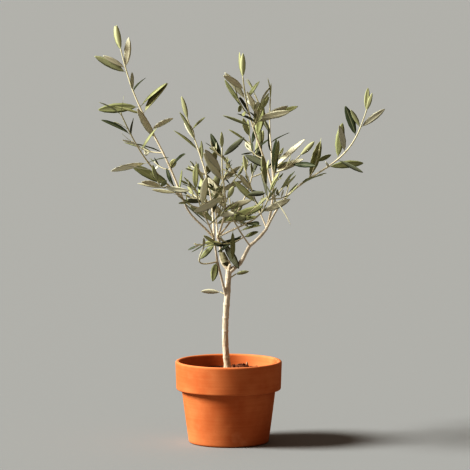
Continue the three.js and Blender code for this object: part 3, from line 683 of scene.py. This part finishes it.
def side_stem(plan, joints, habit, draw):
    """A smaller stem from one joint of a stem, spread from it and sagging a tenth of its length, with its own
    plan, joints and leaves. It is shorter the further up its joint stands."""
    joint = joints[int(draw(*habit["zone"]) * len(joints))]
    jitter = draw(-TWIG_TURN_JITTER, TWIG_TURN_JITTER)
    half = 180 if draw(0, 1) < 0.5 else 0
    around = math.radians(joint["turn"] + jitter + half)
    spread = math.radians(draw(*TWIG_SPREAD))
    length = draw(*habit["lengths"]) * (1 - TWIG_SHORTENING * joint["t"])
    tip = joint["foot"] + length * turned_out(*joint["axes"], spread, around)
    thick, thin = habit["thick"], min(STEM_TIP_RADIUS, habit["thick"])
    stem = Limb(joint["foot"], tip, (0, 0, -TWIG_SAG * length), (0, 0, 0), thick, thin)
    leaf = plan["leaf"] * habit["leaf"]
    own = {"pairs": habit["pairs"], "first": habit["first"], "roll": draw(0, 180), "leaf": leaf}
    grown = [joint_of(stem, own, k, draw) for k in range(own["pairs"])]
    return stem, own, [joint for joint, _ in grown], [leaf for _, pair in grown for leaf in pair]


def half_width(length, s):
    """Half a leaf's width: the stalk's radius, fading to the tip, plus (4 b (1 - b)) to the power of the
    fullness times the blade's half width, where b is the share of the blade passed."""
    blade = np.maximum(0, (s - STALK_SHARE) / (1 - STALK_SHARE))
    fullness = (4 * blade * (1 - blade)) ** BLADE_FULLNESS
    return STALK_RADIUS * (1 - s) + length / LEAF_SLENDERNESS / 2 * fullness


def rib_point(leaf, s):
    """The rib: straight out from the stem, arching away from the upper face with the square of the way."""
    s = np.asarray(s, float)[..., None]
    bend = leaf["face"] * leaf["arch"] * leaf["length"] * s * s
    return leaf["foot"] + leaf["out"] * leaf["length"] * s - bend


def limb_beads(limb):
    """Beads evenly along a limb, a step or less apart: a centre and a radius in each row."""
    count = math.ceil(limb.length / BEAD_STEP)
    t = np.arange(count + 1) / count
    return np.column_stack([limb.at(t), limb.radius(t)])


def leaf_beads(leaf):
    """Beads evenly along a leaf's rib, each as wide as the leaf is there and never smaller than the least."""
    s = np.arange(1, LEAF_BEADS + 1) / LEAF_BEADS
    return np.column_stack([rib_point(leaf, s), np.maximum(LEAST_BEAD, half_width(leaf["length"], s))])


class Crown:
    """The space that limbs and sprays have taken up, as beads with an owner each."""

    def __init__(self):
        self.beads, self.owners = np.empty((0, 4)), np.empty(0, int)

    def take(self, beads, owner):
        self.beads = np.concatenate([self.beads, beads])
        self.owners = np.append(self.owners, np.full(len(beads), owner))

    def has_room(self, beads, owner, stem_beads):
        """True where every bead lies near the spray's own stem and clear of everyone else's beads."""
        others = self.beads[self.owners != owner]
        apart = np.linalg.norm(beads[:, None, :3] - others[None, :, :3], axis=2)
        clear = (apart > beads[:, None, 3] + others[None, :, 3] + BEAD_GAP).all()
        reach = np.linalg.norm(beads[:, None, :3] - stem_beads[None, :, :3], axis=2).min(axis=1)
        return clear and (reach < SPRAY_REACH).all()


crown = Crown()
for limb in limbs.values():
    crown.take(limb_beads(limb), -1)
sprays = []
for owner, (name, row) in enumerate(SPRAYS.items()):
    source, share, tip, bow, sway, thick, first, roll, leaf, seeds, twig_seeds = row
    stem = Limb(limbs[source].at(share), tip, bow, sway, thick, STEM_TIP_RADIUS)
    plan = {"pairs": len(seeds), "first": first, "roll": roll, "leaf": leaf}
    crown.take(limb_beads(stem), owner)
    sprays.append({"name": name, "stem": stem, "plan": plan, "seeds": seeds, "twig_seeds": twig_seeds})

stems, leaves = [], []
for owner, spray in enumerate(sprays):
    stem, plan = spray["stem"], spray["plan"]
    stem_beads = limb_beads(stem)
    grown = [joint_of(stem, plan, k, stream_of(seed)) for k, seed in enumerate(spray["seeds"])]
    joints = [joint for joint, _ in grown]
    grown = [leaf for _, pair in grown for leaf in pair]
    spray["joints"] = [(plan, joints)]
    stems.append((stem, joints))
    for seed in spray["twig_seeds"]:
        twig, twig_plan, twig_joints, twig_leaves = side_stem(plan, joints, SIDE_TWIG, stream_of(seed))
        if crown.has_room(limb_beads(twig), owner, stem_beads):
            crown.take(limb_beads(twig), owner)
            stems.append((twig, twig_joints))
            spray["joints"].append((twig_plan, twig_joints))
            grown += twig_leaves
    for leaf in grown:
        if crown.has_room(leaf_beads(leaf), owner, stem_beads):
            crown.take(leaf_beads(leaf), owner)
            leaves.append({**leaf, "owner": owner, "broad": BROADER.get(spray["name"], 1)})

for owner, spray in enumerate(sprays):
    draw = stream_of(sum(spray["seeds"]))
    stem_beads = limb_beads(spray["stem"])
    low, high = (np.array(corner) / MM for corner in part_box(spray["name"]))
    for plan, joints in spray["joints"]:
        inner = [joint for joint in joints if np.linalg.norm(joint["foot"] - HEART) < HEART_RADIUS]
        for _ in inner:
            shoot, _, shoot_joints, shoot_leaves = side_stem(plan, inner, SHOOT, draw)
            beads = np.concatenate([limb_beads(shoot)] + [leaf_beads(leaf) for leaf in shoot_leaves])
            inside = ((beads[:, :3] > low) & (beads[:, :3] < high)).all()
            if inside and crown.has_room(beads, owner, stem_beads):
                crown.take(beads, owner)
                stems.append((shoot, shoot_joints))
                kept = {"owner": owner, "t": SHOOT_LEAF_AGE, "broad": 1}
                leaves += [{**leaf, **kept} for leaf in shoot_leaves]


def leaf_skins(leaves, chance):
    """Every leaf as a flat eight-sided rod. At a share s of its length a ring lies round the rib point, its
    corners at c = -1 to 1 times the half width across, folded up by fold |c| and turned by twist s about the
    rib, with half the blade's thickness above and below and a rib that stands out under it."""
    s = np.array([0.0, 0.09, 0.2, 0.4, 0.63, 0.84, 0.96])
    c = np.array([-1, -0.5, 0, 0.5, 1, 0.5, 0, -0.5])
    layer = np.array([0, 1, 1, 1, 0, -1, -1, -1])
    count = len(leaves)
    keys = ("foot", "out", "face", "length", "arch", "broad")
    column = {key: np.array([leaf[key] for leaf in leaves]) for key in keys}
    length = column["length"][:, None]
    twist = chance.uniform(-LEAF_TWIST, LEAF_TWIST, (count, 1, 1)) * s[None, :, None]
    level = np.cross(column["out"], column["face"])[:, None]
    upright = column["face"][:, None]
    across = level * np.cos(twist) + upright * np.sin(twist)
    face = upright * np.cos(twist) - level * np.sin(twist)
    wide = half_width(length, s[None]) * column["broad"][:, None] * chance.uniform(*LEAF_WIDTHS, (count, 1))
    fold = chance.uniform(*LEAF_FOLDS, (count, 1, 1)) * np.minimum(1, s / 0.2)[None, :, None]
    bend = chance.uniform(-LEAF_BEND, LEAF_BEND, (count, 1))
    rib = column["foot"][:, None] + column["out"][:, None] * (length * s)[..., None]
    rib = rib - column["face"][:, None] * (column["arch"][:, None] * length * s ** 2)[..., None]
    rib = rib + across * (bend * length * s * (1 - s))[..., None]
    thick = (BLADE_THICKNESS + STALK_THICKENING * np.exp(-(s / 0.09) ** 2)) * np.ones((count, 1))
    groove = np.where((c == 0) & (layer > 0), -RIB_GROOVE, 0)
    keel = np.where((c == 0) & (layer < 0), RIB_DEPTH, 0) * (1 - s)[None, :, None]
    height = fold * (np.abs(c) - 0.12 * c ** 4) * wide[..., None]
    height = height + layer * thick[..., None] * (1 - 0.3 * np.abs(c))
    height = height - keel + groove
    body = rib[:, :, None] + across[:, :, None] * (wide[..., None] * c)[..., None]
    body = body + face[:, :, None] * height[..., None]
    root = column["foot"] - 0.5 * column["out"]
    tip = column["foot"] + column["out"] * length - column["face"] * (column["arch"][:, None] * length)
    points = np.concatenate([root[:, None], body.reshape(count, -1, 3), tip[:, None]], axis=1)
    under = np.concatenate([[0.5], np.tile((1 - layer) / 2, len(s)), [0.5]])
    ridge = np.concatenate([[0], np.tile(np.abs(c), len(s)), [0]])
    return points.reshape(-1, 3), skin(len(s), len(c), count), under, ridge


chance = np.random.default_rng(5)
tones = np.array(list(LEAF_TONES.values()))
young = list(LEAF_TONES).index("young")
tone_draws = [stream_of(TONE_AND_SHADE_SEEDS[spray["name"]]) for spray in sprays]
leaf_tone = []
# Each leaf gets a tone and a brightness from its spray's seed: partly its own colour, partly painted shade
# and painted highlight.
for leaf in leaves:
    draw = tone_draws[leaf["owner"]]
    kind = min(np.searchsorted(np.cumsum(TONE_SHARES), draw(0, 1)), young)
    if leaf["t"] > YOUNG_FROM and sprays[leaf["owner"]]["name"].endswith("foliage"):
        kind = young
    leaf_tone.append(tones[kind] * np.append(np.full(3, draw(*TONE_RANGE)), 1))

leaf_finish = Finish("olive_leaf", {"Specular IOR Level": 0.2})
under = leaf_finish.between(leaf_finish.attribute("under"), 0.35, 0.75)
ridge = leaf_finish.attribute("ridge")
rib_line = 1 - leaf_finish.between(ridge, 0.03, 0.17)
clouds = leaf_finish.noise(160, 4)
dust = leaf_finish.noise(2200, 2)
tone = leaf_finish.attribute("tone", "Color")
colour = leaf_finish.mix(clouds * 0.25, tone, LEAF_CLOUDS)
colour = leaf_finish.mix(rib_line * 0.3, colour, RIB_LINE)
silver = leaf_finish.mix(dust * 0.4, UNDERSIDE_LIGHT, UNDERSIDE_GREY)
colour = leaf_finish.mix(under * 0.85, colour, leaf_finish.mix(0.3, tone, silver))
leaf_finish.feed(leaf_finish.shader, {
    "Base Color": colour,
    "Roughness": 0.52 + under * 0.2 + dust * 0.14,
    "Normal": leaf_finish.bump(clouds * 0.7 + dust * 0.3, 0.0003, 0.5),
})
points, faces, under, ridge = leaf_skins(leaves, chance)
foliage = mesh_piece("olive_leaves", points, faces, leaf_finish.material)
for name, values in (("under", under), ("ridge", ridge)):
    paint(foliage, name, np.tile(values, len(leaves)))
paint(foliage, "tone", np.repeat(leaf_tone, len(under), axis=0))
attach(foliage, "root")
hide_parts(*SPRAYS)

twig_parts, twig_age = [], []
for stem, joints in stems:
    rings = max(6, round(stem.length / 2.2))
    t = np.concatenate([[-0.6 / stem.length], np.linspace(0.01, 1, rings), [1 + 1.2 / stem.length]])
    joint_at = np.array([joint["t"] for joint in joints])
    swell = np.exp(-((t[:, None] - joint_at) * stem.length / 1.1) ** 2).sum(axis=1)
    radii = stem.radius(np.clip(t, 0, 1)) * (BARK_OVER_STEM + NODE_SWELL * swell)
    radii[-1] *= TIP_NARROWING
    twig_parts.append((rod(stem, t, radii, TWIG_SIDES), skin(len(t), TWIG_SIDES)))
    span, start = MAIN_STEM_AGE if stem.thick > THICKEST_TWIG else TWIG_AGE
    age = np.clip(t, 0, 1) * span + start
    twig_age.append(np.concatenate([age[:1], np.repeat(age, TWIG_SIDES), age[-1:]]))

twig_finish = Finish("green_wood", {"Specular IOR Level": 0.35})
age = twig_finish.attribute("age")
mottle = twig_finish.noise(800, 3)
colour = twig_finish.mix(twig_finish.between(age, 0.1, 0.75), TWIG_WOODY, TWIG_GREEN)
colour = twig_finish.mix(twig_finish.between(mottle, 0.4, 0.7) * 0.35, colour, TWIG_SPECKS)
twig_finish.feed(twig_finish.shader, {
    "Base Color": colour,
    "Roughness": 0.55 + 0.2 * mottle,
    "Normal": twig_finish.bump(mottle, 0.0002, 0.6),
})
twigs = mesh_piece("olive_twigs", *join_skins(twig_parts), twig_finish.material)
paint(twigs, "age", np.concatenate(twig_age))
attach(twigs, "root")
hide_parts(*SPRAYS)

# Studio: a plain pale floor, one large soft light from the upper left, a weak warm light all round, and a
# camera a little above the crown that looks slightly down at the tree through a long lens.
FLOOR_REACH = 60
FLOOR_GREY = (0.25, 0.26, 0.265, 1)
AIR_TINT = (1, 0.82, 0.68, 1)
AIR_STRENGTH = 0.24
KEY_POWER = 4.9
KEY_SOFTNESS = 24  # degrees that the light spans
KEY_TINT = (1, 1, 0.96)
KEY_WAY = (0.76, 0.10, -0.60)
SENSOR_WIDTH = 36
PICTURE_WIDTH = 470
FOCAL_LENGTH = 3535  # in pixels of the picture
CAMERA_PLACE = (0.009, -5, 0.803)
CAMERA_AIM = (0.009, 0, 0.297)
FARTHEST_SEEN = 200

floor_finish = Finish("studio_floor", {"Roughness": 0.9, "Base Color": FLOOR_GREY})
floor_corners = FLOOR_REACH * np.array([(-1, -1, 0), (1, -1, 0), (1, 1, 0), (-1, 1, 0)]) / MM
floor = mesh_piece("studio_floor", floor_corners, [np.array([[0, 1, 2, 3]])], floor_finish.material)

world = bpy.data.worlds.new("studio_air")
world.use_nodes = True
world.node_tree.nodes["Background"].inputs["Color"].default_value = AIR_TINT
world.node_tree.nodes["Background"].inputs["Strength"].default_value = AIR_STRENGTH
bpy.context.scene.world = world

key = bpy.data.lights.new("key", "SUN")
key.energy = KEY_POWER
key.angle = math.radians(KEY_SOFTNESS)
key.color = KEY_TINT
key_lamp = bpy.data.objects.new("key", key)
key_lamp.rotation_euler = Vector(KEY_WAY).to_track_quat("-Z", "Y").to_euler()
bpy.context.scene.collection.objects.link(key_lamp)

lens = bpy.data.cameras.new("camera")
lens.sensor_width = SENSOR_WIDTH
lens.lens = SENSOR_WIDTH * FOCAL_LENGTH / PICTURE_WIDTH
lens.clip_end = FARTHEST_SEEN
camera = bpy.data.objects.new("camera", lens)
camera.location = CAMERA_PLACE
camera.rotation_euler = (Vector(CAMERA_AIM) - camera.location).to_track_quat("-Z", "Y").to_euler()
bpy.context.scene.collection.objects.link(camera)
bpy.context.scene.camera = camera
bpy.context.scene.view_settings.view_transform = "Standard"
bpy.context.scene.view_settings.look = "Very High Contrast"
